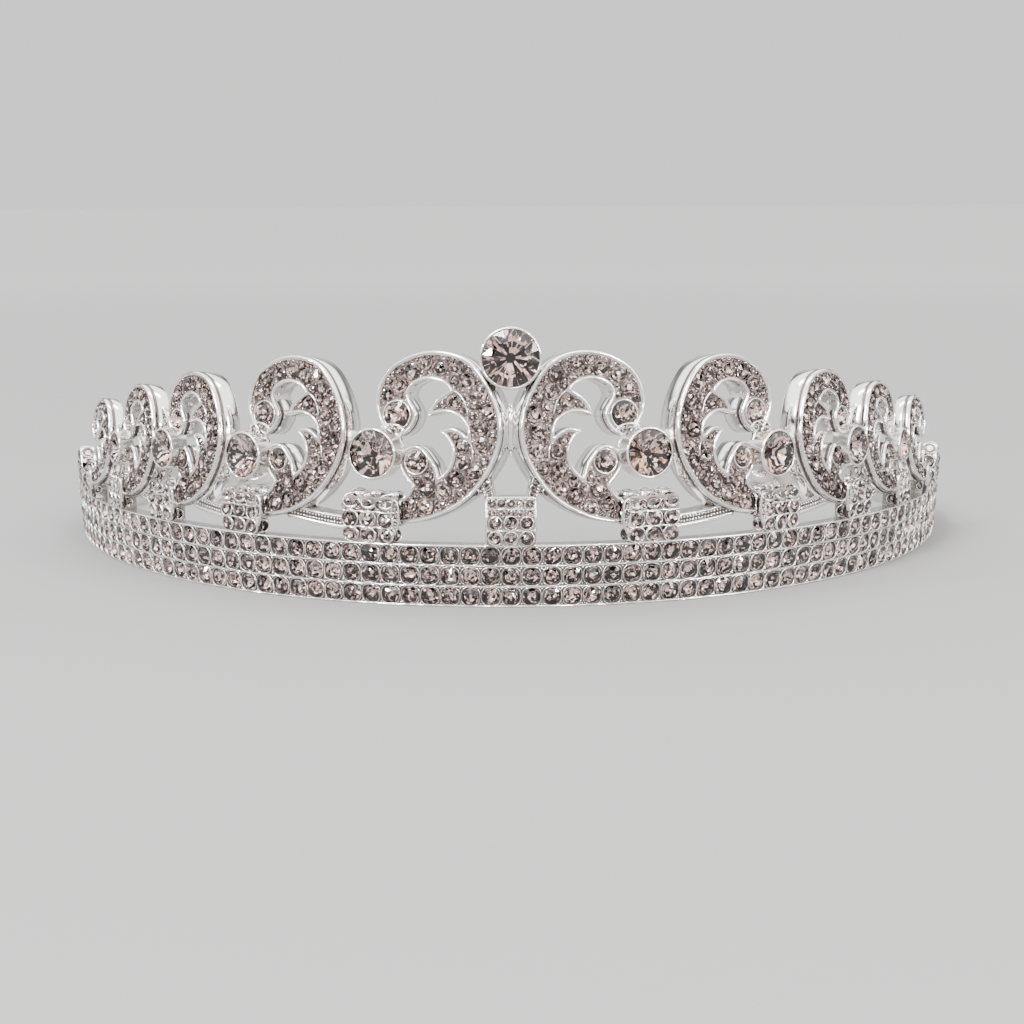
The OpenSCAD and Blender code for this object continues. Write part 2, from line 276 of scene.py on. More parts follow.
def outward(verts, groups):
    """The same closed shape with its faces turned outwards."""
    verts_in = verts - verts.mean(0)
    volume = 0.0
    for faces, _, _ in groups:
        for k in range(2, faces.shape[1]):
            a, b, c = verts_in[faces[:, [0, k - 1, k]].T]
            volume += np.einsum("ij,ij->i", a, np.cross(b, c)).sum()
    if volume < 0:
        groups = [(faces[:, ::-1], slot, smooth) for faces, slot, smooth in groups]
    return verts, groups


def grid_faces(rows, cols, wrap):
    """Quads between closed rows of points; wrap joins the last row to the first."""
    r, c = np.divmod(np.arange((rows if wrap else rows - 1) * cols), cols)
    r1, c1 = (r + 1) % rows, (c + 1) % cols
    return np.stack([r * cols + c, r * cols + c1, r1 * cols + c1, r1 * cols + c], 1)


def spokes(centre, count):
    """Triangles from a point to each side of the polygon of the first points."""
    return [(centre, k, (k + 1) % count) for k in range(count)]


def fan(first, count):
    """Triangles over a flat polygon of that many points."""
    return [(first, first + i, first + i + 1) for i in range(1, count - 1)]


def circle(count):
    """Angles spread evenly over a full turn."""
    return np.linspace(0, 2 * np.pi, count, endpoint=False)


def turned(r, y, sides):
    """Rings of points of radii r at heights y round the Y axis."""
    a = circle(sides)
    level = np.repeat(np.array(y)[:, None], sides, 1)
    return np.stack([np.outer(r, np.cos(a)), level, np.outer(r, np.sin(a))], 2)


def lathe(profile, sides):
    """Ring of a closed profile (radius, y) about the Y axis."""
    verts = turned(*np.transpose(profile), sides).swapaxes(0, 1).reshape(-1, 3)
    return outward(verts, [(grid_faces(sides, len(profile), True), 0, True)])


def ball(rings, sides):
    """Ball of radius 1 that looks along -Y."""
    t = np.linspace(0, np.pi, rings + 1)[1:-1]
    body = turned(np.sin(t), -np.cos(t), sides).reshape(-1, 3)
    verts = np.vstack([body, [[0, -1, 0], [0, 1, 0]]])
    n = len(body)
    front = np.array(spokes(n, sides))
    back = front[:, [0, 2, 1]] + [1, n - sides, n - sides]
    groups = [(grid_faces(rings - 1, sides, False), 0, True), (np.vstack([front, back]), 0, True)]
    return verts, [outward(verts, [group])[1][0] for group in groups]


def sweep(path, across, depth, profile, closed):
    """A closed profile (across, depth) carried along a path by two directions, each given once or
    for every point."""
    profile = np.broadcast_to(profile, (len(path), *np.shape(profile)[-2:]))
    verts = (path[:, None, :] + profile[:, :, :1] * across[:, None, :]
             + profile[:, :, 1:] * depth[:, None, :]).reshape(-1, 3)
    rows, cols = profile.shape[:2]
    groups = [(grid_faces(rows, cols, closed), 0, True)]
    if not closed:
        ends = np.array([np.arange(cols)[::-1], (rows - 1) * cols + np.arange(cols)])
        groups.append((ends, 0, False))
    return outward(verts, groups)


def round_profile(across, depth, sides=8, centre=(0.0, 0.0)):
    a = circle(sides)
    return np.stack([centre[0] + across * np.cos(a), centre[1] + depth * np.sin(a)], 1)


def ring_points(n, r, y, half=False):
    a = 2 * np.pi * (np.arange(n) + (0.5 if half else 0)) / n
    return np.stack([r * np.cos(a), np.full(n, y), r * np.sin(a)], 1)


def facing_out(verts, faces, middle):
    faces = np.array(faces)
    a, b, c = verts[faces.T]
    out = np.einsum("ij,ij->i", np.cross(b - a, c - a), (a + b + c) / 3 - middle) > 0
    faces[~out] = faces[~out][:, ::-1]
    return faces


def cut_shape(n, verts, back, kinds, pavilion):
    """Joins the facets of a cut stone: its crown in slot 0, each sector of its back in its own."""
    middle = np.array([0, pavilion * 0.2, 0])
    groups = [(facing_out(verts, crown_facets(n), middle), 0, False)]
    for kind in sorted(set(kinds)):
        chosen = [face for sector, faces in enumerate(back) if kinds[sector] == kind for face in faces]
        groups.append((facing_out(verts, chosen, middle), int(kind), False))
    return verts, groups


def crown_facets(n):
    """Facets of a crown over rings of n table, n star, 2n upper and 2n lower girdle points."""
    m = 2 * n
    crown = fan(0, n)
    for i in range(n):
        table, after, star = i, (i + 1) % n, n + i
        a, b, c = (2 * n + k % m for k in (2 * i, 2 * i + 1, 2 * i + 2))
        crown += [
            (table, star, after), (table, a, star), (after, star, c), (star, a, b), (star, b, c),
            (a, a + m, b + m), (a, b + m, b), (b, b + m, c + m), (b, c + m, c)]
    return crown


def crown_rings(n, table_r=TABLE_R, star_r=STAR_R):
    return [
        ring_points(n, table_r, -CROWN_H), ring_points(n, star_r, -STAR_H, True),
        ring_points(2 * n, 0.5, -GIRDLE_H), ring_points(2 * n, 0.5, 0.0)]


def kinds_of(count, shares):
    """Random materials for the back of a stone, the first of them in slot 1."""
    return 1 + random.choice(len(shares), count, p=shares)


def back_ring(n, r, pavilion, wander=0.0, half=False):
    """Ring of points on the back of a stone, each moved a little at random."""
    ring = ring_points(n, r, 0, half)
    ring *= 1 + random.uniform(-wander, wander, (n, 1))
    depth = (0.5 - np.hypot(ring[:, 0], ring[:, 2])) / (0.5 - CULET_R)
    ring[:, 1] = pavilion * depth * (1 + random.uniform(-wander, wander, n))
    return ring


def brilliant(n, pavilion, shares):
    """Round cut stone of diameter 1 that looks along -Y, its widest line at Y = 0, with a tone of
    its own for each facet of its foiled back, painted reflections from pale to near black."""
    verts = np.vstack([
        *crown_rings(n),
        back_ring(n, OUTER_R, pavilion, FACET_WANDER, True),
        back_ring(n, INNER_R, pavilion, FACET_WANDER),
        back_ring(n, CULET_R, pavilion, half=True)])
    back = []
    for i in range(n):
        # Three points of the girdle, then the outer, inner and culet points here and at the next
        a, b, c = (4 * n + k % (2 * n) for k in (2 * i, 2 * i + 1, 2 * i + 2))
        (p, q, r), (p2, q2, r2) = ([ring * n + k for ring in (6, 7, 8)] for k in (i, (i + 1) % n))
        sector = [
            [(a, p, b), (b, p, c)], [(c, p, p2)], [(p, q2, p2)], [(p, q, q2)], [(q, r, q2)],
            [(r, r2, q2)]]
        back += sector
    back.append(fan(8 * n, n))
    kinds = kinds_of(len(back), shares)
    kinds[:-1:len(sector)] = kinds_of(n, EDGE_SHARES)
    return cut_shape(n, verts, back, kinds, pavilion)


# Painted reflections: pale tones with every second one dark
def pale_and_dark(count):
    kinds = kinds_of(count, PALE_SHARES)
    kinds[1::2] = kinds_of(count // 2, DARK_SHARES)
    return kinds


def chaton(n):
    """Round cut stone with a wide table, pale and dark rays on its back: 4n outside and 2n inside,
    alike on opposite sides. The rays are painted reflections, and the culet is painted darkest."""
    rays = 4 * n
    edge = ring_points(rays, 0.5, 0.0)
    edge[1::2] *= np.cos(np.pi / (2 * n))
    verts = np.vstack([
        *crown_rings(n, CHATON_TABLE_R, CHATON_STAR_R), edge,
        back_ring(rays, RAY_R, BIG_PAVILION, RAY_WANDER),
        back_ring(rays, CULET_R, BIG_PAVILION)])
    back = []
    for ring in (6 * n, 10 * n):
        for a in range(rays):
            low, high = ring + a, ring + (a + 1) % rays
            back.append([(low, high, high + rays), (low, high + rays, low + rays)])
    back.append(fan(14 * n, rays))
    inner = np.tile(np.repeat(pale_and_dark(n), 2), 2)
    kinds = [*pale_and_dark(rays), *inner, DARKEST]
    return cut_shape(n, verts, back, kinds, BIG_PAVILION)


def darken(shape, cols, dark):
    """Gives slot 1, which holds painted shade, to the named strips of a shape swept with a profile of
    that many points.
    """
    verts, groups = shape
    faces, slot, smooth = groups[0]
    strip = np.isin(np.arange(len(faces)) % cols, dark)
    return verts, [(faces[~strip], slot, smooth), (faces[strip], 1, smooth), *groups[1:]]


def add_object(name, data, place=np.eye(4)):
    added = bpy.data.objects.new(name, data)
    added.matrix_world = Matrix(place.tolist())
    bpy.context.scene.collection.objects.link(added)
    return added


class Build:
    """Collects shapes into one mesh."""

    def __init__(self):
        self.verts, self.groups, self.count = [], [], 0

    def add(self, shape, matrices=np.eye(4)):
        verts, groups = shape
        matrices = np.reshape(matrices, (-1, 4, 4))
        placed = np.einsum("nij,vj->nvi", matrices[:, :3, :3], verts) + matrices[:, None, :3, 3]
        starts = self.count + np.arange(len(matrices)) * len(verts)
        for faces, slot, smooth in groups:
            copies = (faces[None] + starts[:, None, None]).reshape(-1, faces.shape[1])
            self.groups.append((copies, slot, smooth))
        self.verts.append(placed.reshape(-1, 3))
        self.count += len(self.verts[-1])

    def finish(self, name, materials, slot):
        faces, slots, smooth = zip(*self.groups)
        counts = [len(f) for f in faces]
        sizes = np.repeat([f.shape[1] for f in faces], counts)
        corners = np.concatenate([f.ravel() for f in faces])
        verts = np.clip(np.concatenate(self.verts), *BOX) * MM
        mesh = bpy.data.meshes.new(name)
        mesh.vertices.add(len(verts))
        mesh.vertices.foreach_set("co", verts.ravel())
        mesh.loops.add(len(corners))
        mesh.loops.foreach_set("vertex_index", corners)
        for m in materials:
            mesh.materials.append(m)
        mesh.polygons.add(len(sizes))
        for key, values in (
                ("loop_start", np.cumsum(sizes) - sizes), ("loop_total", sizes),
                ("material_index", np.repeat(slots, counts)), ("use_smooth", np.repeat(smooth, counts))):
            mesh.polygons.foreach_set(key, values)
        mesh.update(calc_edges=True)
        mesh.validate()
        piece = add_object(name, mesh)
        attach(piece, "root")
        return piece


# Outlines

def directions(pts):
    """Direction of a closed outline at each of its points."""
    along = np.roll(pts, -1, 0) - np.roll(pts, 1, 0)
    return along / np.linalg.norm(along, axis=1)[:, None]


def smooth_outline(table, step):
    """Closed curve through the rows (x, y, corner) of a table."""
    pts = np.array([row[:2] for row in table], float)
    along = directions(pts)
    out = []
    for i, p in enumerate(pts):
        j = (i + 1) % len(pts)
        q = pts[j]
        length = np.linalg.norm(q - p)
        a, b = along[i] * length, along[j] * length
        if table[i][2] and table[j][2]:
            a = b = q - p
        elif table[i][2]:
            a = 1.5 * (q - p) - b / 2
        elif table[j][2]:
            b = 1.5 * (q - p) - a / 2
        count = max(2, int(np.ceil(length / step)))
        k = (np.arange(count) / count)[:, None]
        out.append(p * (2 * k**3 - 3 * k**2 + 1) + a * (k**3 - 2 * k**2 + k)
                   + q * (3 * k**2 - 2 * k**3) + b * (k**3 - k**2))
    return np.vstack(out)


def mirrored(table, step, side):
    """Closed curve through a table, mirrored for side -1 but running the same way round."""
    return (smooth_outline(table, step) * [side, 1])[::side]


def sized_outline(table, w, h, side):
    """Outline of that size from a table in percent."""
    scaled = [((x / 100 - 0.5) * w, y / 100 * h, corner) for x, y, corner in table]
    return mirrored(scaled, OUTLINE_STEP, side)


def inward_normals(pts):
    along = directions(pts)
    return np.stack([-along[:, 1], along[:, 0]], 1)


def half_widths(pts, normals):
    """Radius of the largest disc inside the outline that touches it at each point."""
    d = pts[None] - pts[:, None]
    reach = np.einsum("ijk,ik->ij", d, normals)
    return np.where(reach > 1e-6, (d**2).sum(2) / (2 * reach), np.inf).min(1)


def room_inside(grid, pts):
    """Distance of each grid point to the outline, negative outside."""
    nxt = np.roll(pts, -1, 0)
    edge = nxt - pts
    rel = grid[:, None, :] - pts[None]
    t = np.clip((rel * edge).sum(2) / (edge**2).sum(1), 0, 1)
    dist = np.sqrt(((rel - t[:, :, None] * edge) ** 2).sum(2)).min(1)
    x, y = grid.T[:, :, None]
    above = (pts[:, 1] > y) != (nxt[:, 1] > y)
    crossing = pts[:, 0] + (y - pts[:, 1]) * edge[:, 0] / edge[:, 1]
    inside = (above & (x < crossing)).sum(1) % 2 == 1
    return np.where(inside, dist, -dist)


def grid_over(pts, step):
    """Points over the extent of an outline, that far apart."""
    axes = [np.arange(a, b, step) for a, b in zip(pts.min(0), pts.max(0))]
    return np.stack(np.meshgrid(*axes), 2).reshape(-1, 2)


def pack_field(pts, kept, sizes):
    """Fills an outline with round stones from the edge inwards, largest first, then with beads,
    outside the kept circles. All circles are (x, y, radius)."""
    grid = grid_over(pts, PACK_STEP)
    grid = grid + random.uniform(-PACK_STEP / 2, PACK_STEP / 2, grid.shape)
    room = room_inside(grid, pts) - RIM_COVER
    grid, room = grid[room > 0], room[room > 0]

    def put(x, y, r, gap):
        return np.minimum(room, np.hypot(*(grid - [x, y]).T) - r - gap)

    for x, y, r in kept:
        room = put(x, y, r, STONE_GAP)
    stones, beads = [], []
    for r, found, gap in [(r, stones, STONE_GAP) for r in sizes] + [(BEAD_R, beads, BEAD_GAP)]:
        while len(room) and room.max() >= r:
            fits = np.flatnonzero(room >= r)
            best = fits[np.argmin(room[fits])]
            x, y = grid[best]
            found.append((x, y, r))
            room = put(x, y, r, gap)
    return [np.reshape(found, (-1, 3)) for found in (stones, beads)]


# Materials

class Tree:
    """Nodes of a material or a world. Its methods add nodes and return what comes out of them."""

    def __init__(self, owner):
        owner.use_nodes = True
        self.nodes, self.links = owner.node_tree.nodes, owner.node_tree.links

    def fill(self, node, inputs):
        """Sets inputs of a node, each to a value or to what comes out of another node."""
        for key, value in inputs.items():
            if isinstance(value, bpy.types.NodeSocket):
                self.links.new(value, node.inputs[key])
            else:
                node.inputs[key].default_value = value

    def add(self, kind, output, inputs, **settings):
        node = self.nodes.new("ShaderNode" + kind)
        for key, value in settings.items():
            setattr(node, key, value)
        self.fill(node, inputs)
        return node.outputs[output]

    def noise(self, scale, detail=2):
        place = self.add("TexCoord", "Object", {})
        return self.add("TexNoise", "Fac", {"Vector": place, "Scale": scale, "Detail": detail})

    def ramp(self, source, stops):
        """Colour ramp over a source; stops are (place, (r, g, b))."""
        node = self.nodes.new("ShaderNodeValToRGB")
        elements = node.color_ramp.elements
        for k, (place, colour) in enumerate(stops):
            element = elements[k] if k < 2 else elements.new(place)
            element.position = place
            element.color = (*colour, 1)
        self.links.new(source, node.inputs["Fac"])
        return node.outputs["Color"]

    def spread(self, source, low, high, start=0, end=1):
        """Carries the range from start to end over to the one from low to high."""
        return self.add("MapRange", "Result", {
            "Value": source, "From Min": start, "From Max": end, "To Min": low, "To Max": high})

    def math(self, kind, output, operation, *sources):
        return self.add(kind, output, dict(enumerate(sources)), operation=operation)

    def mix(self, factor, first, second):
        """Blend of two colours; the sockets have numbers, because their names repeat."""
        return self.add("Mix", 2, {0: factor, 6: first, 7: second}, data_type="RGBA")

    def bump(self, height, strength, distance):
        return self.add(
            "Bump", "Normal", {"Height": height, "Strength": strength, "Distance": distance})


def make_material(name, inputs):
    """Material whose shader takes what inputs returns for its tree."""
    material = bpy.data.materials.new(name)
    tree = Tree(material)
    tree.fill(tree.nodes["Principled BSDF"], inputs(tree))
    return material


def silver_material(name, pale, dull, rough_low, rough_high):
    """Bright plated metal with cast ripples, faint clouding and fine polishing marks."""
    return make_material(name, lambda tree: {
        "Metallic": 1,
        "Base Color": tree.ramp(tree.noise(220, 3), [(0.3, dull), (0.62, pale)]),
        "Roughness": tree.spread(tree.noise(1500), rough_low, rough_high),
        "Normal": tree.bump(tree.noise(700), 0.25, 0.00004)})


def foil_material(name, tone):
    """Mirror backing of a stone."""
    darker = tuple(c * 0.75 for c in tone)
    return make_material(name, lambda tree: {
        "Metallic": 1, "Roughness": 0.03,
        "Base Color": tree.ramp(tree.noise(900), [(0.35, darker), (0.65, tone)])})


def cast_metal_and_painted_shade(tree):
    """Cast metal, bright behind; where faces look outwards under the stones it is painted dark and
    rough, a painted shade.
    """
    cloud = tree.noise(220, 3)
    bright = tree.ramp(cloud, [(0.3, (0.66, 0.64, 0.61)), (0.62, (0.80, 0.78, 0.75))])
    dark = tree.ramp(cloud, [(0.3, (0.17, 0.145, 0.135)), (0.62, (0.29, 0.25, 0.235))])
    place = tree.add("NewGeometry", "Position", {})
    normal = tree.add("NewGeometry", "Normal", {})
    # Direction away from a vertical line near the middle of the head
    away = tree.math("VectorMath", "Vector", "MULTIPLY_ADD", place, (1, 1, 0), (0, -12 * MM, 0))
    away = tree.math("VectorMath", "Vector", "NORMALIZE", away)
    facing = tree.math("VectorMath", "Value", "DOT_PRODUCT", away, normal)
    looks_out = tree.spread(facing, 0, 1, 0.55, 0.75)
    # The band is set with stones up to here
    last = (plan((STONES_EACH_SIDE + 0.6) * STONE_PITCH)[1] - CENTRE_Y) * MM
    has_stones = tree.spread(
        tree.add("SeparateXYZ", "Y", {0: place}), 1, 0, last, last + 0.3 * MM)
    # Painted shade: dark, matte metal on faces that look outwards under the stones
    painted_shade_under_stones = tree.math("Math", "Value", "MULTIPLY", looks_out, has_stones)
    marks = tree.spread(tree.noise(1500), 0.12, 0.28)
    return {
        "Base Color": tree.mix(painted_shade_under_stones, bright, dark),
        "Metallic": tree.spread(painted_shade_under_stones, 1, 0.35),
        "Roughness": tree.math("Math", "Value", "MULTIPLY_ADD", painted_shade_under_stones, 0.3, marks),
        "Normal": tree.bump(tree.noise(500, 3), 0.3, 0.00006)}


silver = silver_material("silver", (0.90, 0.885, 0.87), (0.74, 0.72, 0.70), 0.05, 0.16)
cast_silver_and_painted_shade = make_material("cast_silver_and_painted_shade", cast_metal_and_painted_shade)
# Dark metal, slot 1 of METALS: painted shade in the gaps round stones, grooves, the foot of lips and the
# floors of plates
seat = silver_material("seat", (0.16, 0.13, 0.125), (0.08, 0.065, 0.06), 0.2, 0.35)
crystal = make_material("crystal", lambda tree: {
    "Transmission Weight": 1, "IOR": 1.57, "Roughness": 0,
    "Base Color": tree.ramp(tree.noise(300), [(0.35, (0.99, 0.865, 0.83)), (0.6, (1, 0.92, 0.895))])})
# Tones of the foil, and the share of a stone's facets that each of them has. The warm tint is the
# stones' own; the spread from pale to near black is painted reflection, the bright and dark flashes of
# the facets
FOIL_TINTS_AND_PAINTED_REFLECTIONS = [
    (0.98, 0.86, 0.82), (0.86, 0.66, 0.59), (0.46, 0.33, 0.29), (0.03, 0.024, 0.024),
    (0.95, 0.66, 0.46)]
DARKEST = 4
SMALL_SHARES = [0.46, 0.05, 0.01, 0.48, 0.0]
EDGE_SHARES = [0.76, 0.10, 0.04, 0.10, 0.0]
EYE_SHARES = [0.62, 0.08, 0.04, 0.24, 0.02]
PALE_SHARES = [0.86, 0.06, 0.0, 0.0, 0.08]
DARK_SHARES = [0.14, 0.04, 0.14, 0.66, 0.02]
STONE_MATERIALS = [crystal]
STONE_MATERIALS += [foil_material(f"foil_{k}", tone) for k, tone in enumerate(FOIL_TINTS_AND_PAINTED_REFLECTIONS, 1)]
METALS = [silver, seat]


# Stones and settings

DEEP_CUTS, FLAT_CUTS = (
    [brilliant(6, pavilion, SMALL_SHARES) for _ in range(16)]
    for pavilion in (DEEP_PAVILION, FLAT_PAVILION))
TINY_CUTS = [brilliant(4, FLAT_PAVILION, SMALL_SHARES) for _ in range(12)]


def stone_set(build, centres, diameter, wobble, cuts=FLAT_CUTS, thickest=np.inf):
    """Adds small stones at frames whose -Y looks out, each of a random cut and tilt. One wider
    than thickest is only as high as one of that diameter."""
    n = len(centres)
    kinds = random.integers(len(cuts), size=n)
    tilts, rolls = random.normal(0, wobble, (2, n)), random.uniform(0, 360, n)
    frames = np.array([
        m @ spin("x", a) @ spin("z", b) @ spin("y", roll) @ grow(d, min(d, thickest), d)
        for m, a, b, roll, d in zip(centres, *tilts, rolls, np.broadcast_to(diameter, n))])
    for kind, shape in enumerate(cuts):
        if (kinds == kind).any():
            build.add(shape, frames[kinds == kind])


def big_stone(name, replaced, at, d, cut):
    stone = Build()
    stone.add(cut, at @ spin("y", BIG_STONE_TURN) @ grow(d))
    piece = stone.finish(name, STONE_MATERIALS, "stones")
    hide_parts(replaced)


def collet_shape(inner, outer, front, back, sides):
    """Round cup rim with a rounded lip."""
    lip = (outer - inner) / 2
    middle = (outer + inner) / 2
    a = np.linspace(-np.pi, 0, 5)
    lip_points = [(middle + lip * np.cos(t), front + lip * (1 + np.sin(t))) for t in a]
    return lathe([(inner, back), *lip_points, (outer, back)], sides)


# Rounded collar round a raised stone of diameter 1: radius, depth
MOUND_PROFILE = [
    (0.46, 0.3), (0.475, -0.03), (0.5, -0.06), (0.53, -0.03), (0.57, 0.08), (0.6, 0.24), (0.58, 0.55)]
# The outer skirt and back of the collar take slot 1, painted shade in the gap round it
MOUND = darken(lathe(MOUND_PROFILE, 14), len(MOUND_PROFILE), (4, 5, 6))


class Work:
    """Small stones and the metal round them."""

    def __init__(self):
        self.stones, self.metal = Build(), Build()

    def mounds(self, frames, d):
        """Stones in rounded collars that stand proud of the metal, each a little askew."""
        sizes = d * random.uniform(0.94, 1.08, len(frames))
        askew = random.normal(0, 4, (2, len(frames)))
        frames = [m @ spin("x", a) @ spin("z", b) for m, a, b in zip(frames, *askew)]
        stone_set(self.stones, frames, sizes, 6)
        self.metal.add(MOUND, [m @ grow(size) for m, size in zip(frames, sizes)])

    def finish(self, stones_name, metal_name):
        self.stones.finish(stones_name, STONE_MATERIALS, "small_stones")
        self.metal.finish(metal_name, METALS, "metal")


def add_balls(metal, places, r, rings=4, sides=7):
    """Balls of radius r at places, each a frame or a point."""
    frames = [place if np.ndim(place) == 2 else shift(*place) for place in places]
    metal.add(ball(rings, sides), [m @ grow(r) for m in frames])


def loop(pts, profile):
    """Profile (inwards, depth) carried round a closed outline (x, z)."""
    path, across = (np.insert(v, 1, 0, axis=1) for v in (pts, inward_normals(pts)))
    return sweep(path, across, np.array([[0.0, 1.0, 0.0]]), profile, True)


def tube(points, r, towards=(0, -1, 0)):
    """Round bar along points; towards is a direction that none of it runs along."""
    points = np.asarray(points, float)
    along = np.gradient(points, axis=0)
    along /= np.linalg.norm(along, axis=1)[:, None]
    across = np.cross(along, towards)
    across /= np.linalg.norm(across, axis=1)[:, None]
    return sweep(points, across, np.cross(along, across), round_profile(r, r), False)


def curve(points, count):
    """Smooth line through a few points."""
    points = np.asarray(points, float)
    line = np.vstack([2 * points[0] - points[1], points, 2 * points[-1] - points[-2]])
    t = np.linspace(0, len(points) - 1, count)
    k = np.minimum(t.astype(int), len(points) - 2)
    u = (t - k)[:, None]
    a, b, c, d = (line[k + j] for j in range(4))
    return b + 0.5 * u * (c - a + u * (2 * a - 5 * b + 4 * c - d + u * (3 * (b - c) + d - a)))


# Scrolls

def scroll_frame(i, side):
    s, _, foot, turn = SCROLLS[i]
    forward = (foot - BAND_H) * np.tan(rad(SCROLL_TILT)) - SCROLL_FORWARD
    return on_band(side, s, foot, turn, SCROLL_TILT) @ shift(0, forward, 0)


def scroll_xz(i, side, across, up):
    h = SCROLL_H * SCROLLS[i][1]
    return side * (across / 100 - 0.5) * SCROLL_ASPECT * h, up / 100 * h


def scroll_spot(i, side, across, up, depth):
    """Point of a scroll from percentages and a depth."""
    x, z = scroll_xz(i, side, across, up)
    return point(scroll_frame(i, side), (x, depth, z))


# The wall's outer back edge in its section, and how far it stands out on the middle scrolls
BACK_EDGE = slice(12, 14)
MIDDLE_FLARE = 0.4
# Strips of the section painted dark as shade: the inner foot of the lip, and the groove
DARK_STRIPS = (5, 14, 15, 16)


def rim_profile(depth, w):
    """Section of a polished wall (inwards, backwards): front lip, inside, back lip, groove."""
    p = -0.07
    return [
        (p, 0.30), (p + 0.03, 0.05), (p + 0.12, -0.10), (w * 0.45, -0.16), (w * 0.8, -0.10),
        (w, 0.06), (w, 0.5), (0.34, 0.8), (0.34, depth - 0.8), (w * 0.9, depth - 0.4),
        (w * 0.9, depth - 0.05), (w * 0.5, depth + 0.06), (0.1, depth + 0.03), (p, depth - 0.12),
        (p, 0.98), (-0.01, 0.88), (-0.01, 0.54), (p, 0.44)]


def swept_wall(pts, depth, width, flare, side):
    """Wall round an outline; where the metal is narrow its section is narrower too. Its back edge
    stands out by flare on the side of the tiara's middle."""
    normals = inward_normals(pts)
    narrow = np.minimum(1, half_widths(pts, normals) * 0.98 / (width + 0.02))
    profiles = np.tile(rim_profile(depth, width), (len(pts), 1, 1))
    inwards = profiles[:, :, 0]
    inwards *= np.where(inwards > 0, narrow[:, None], 1)
    nearness = np.clip(-side * pts[:, 0] / np.abs(pts[:, 0]).max(), 0, 1) ** 2
    inwards[:, BACK_EDGE] -= (flare * nearness * np.clip(side * normals[:, 0], 0, 1))[:, None]
    return darken(loop(pts, profiles), profiles.shape[1], DARK_STRIPS)


def set_field(work, base, pts, kept, own, sink, scale=1.0):
    """Fills a sunk field with small stones, their thin rings and beads. own holds stones (x, y,
    radius) with a place of their own."""
    own = np.reshape(own, (-1, 3))
    stones, beads = pack_field(pts, [*kept, *own], [r * scale for r in PAVE_SIZES])
    stones = np.vstack([own, stones])
    depth = sink - FIELD_ROOM
    thickest = FIELD_ROOM * 0.95 / FLAT_PAVILION

    def spots(circles):
        return [base @ shift(x, depth, z) for x, z, _ in circles]

    tiny = stones[:, 2] < TINY_R
    large = stones[~tiny]
    for chosen, cuts in ((large, FLAT_CUTS), (stones[tiny], TINY_CUTS)):
        stone_set(work.stones, spots(chosen), chosen[:, 2] * PAVE_FILL, 7, cuts, thickest)
    # Thin rings wholly in slot 1: painted shade in the gap round each larger stone
    ring = darken(collet_shape(0.98, 1.035, -0.12, 0.4, 14), 7, range(7))
    work.metal.add(ring, [m @ grow(r, 1, r) for m, r in zip(spots(large), large[:, 2])])
    add_balls(work.metal, spots(beads), BEAD_R, 4, 6)


# Thin lines that run from the valleys beside the leaves into the field
VEINS = [
    [(41.5, 78.2), (36.0, 77.2), (30.0, 72.5), (26.5, 65.0)],
    [(26.5, 52.0), (22.5, 46.5), (21.5, 40.0)]]


def make_scroll(i, side):
    name = f"{i + 1}_{HANDS[side]}"
    k = SCROLLS[i][1]
    h = SCROLL_H * k
    base = scroll_frame(i, side)
    pts = sized_outline(OUTLINE, SCROLL_ASPECT * h, h, side)
    wall = Build()
    wall.add(swept_wall(pts, SCROLL_D * k, RIM * 0.8, 0 if i else MIDDLE_FLARE, side), base)
    wall.finish(f"scroll_wall_{name}", METALS, "metal")
    work = Work()
    eyes = [(*scroll_xz(i, side, x, z), d * h) for x, z, d in EYES.values()]
    kept = [(x, z, d / 2 + 0.3) for x, z, d in eyes]
    for vein in VEINS:
        line = curve([scroll_xz(i, side, x, z) for x, z in vein], 14)
        kept += [(x, z, 0.12) for x, z in line[2:]]
        work.metal.add(tube([(x, FIELD_SINK - 0.34, z) for x, z in line], 0.15 * k**0.5), base)
    x, z, r = TAIL_STONE
    set_field(work, base, pts, kept, [(*scroll_xz(i, side, x, z), r * h)], FIELD_SINK, k**0.6)
    for label, (x, z, d) in zip(EYES, eyes):
        at = base @ shift(x, EYE_SINK, z)
        work.metal.add(collet_shape(d / 2 - 0.04, d / 2 + 0.2, -0.33, 0.3, 28), at)
        cut = brilliant(10, EYE_PAVILION, EYE_SHARES)
        big_stone(f"{label}_cut_{name}", f"{label}_{name}", at @ shift(0, -0.1, 0), d, cut)
    work.finish(f"scroll_pave_{name}", f"scroll_beads_{name}")


# Band

def band_spot(side, s, z, reach):
    """Frame on the leaning face of the band whose -Y looks out, moved back until what reaches so
    far in front of it stays in the box."""
    lean = z * np.tan(rad(BAND_LEAN))
    m = on_band(side, s, z) @ shift(0, -lean, 0) @ spin("x", BAND_LEAN)
    over = abs(m[0, 3]) + reach * abs(m[0, 1]) - BOX[1, 0]
    return m @ shift(0, over / abs(m[0, 1]), 0) if over > 0 else m


def row_middle(i):
    """Height of a row's middle; an edge takes twice as much of a row as a line between two."""
    return (i + 0.5) * ROW_H + (1 - i) * EDGE_T / 4


# Section of a collet round a band stone: inwards, depth
COLLET_WALL = [(0.0, 0.95), (0.0, -0.08), (0.04, -0.16), (0.09, -0.12), (0.11, 0.0), (0.11, 0.95)]


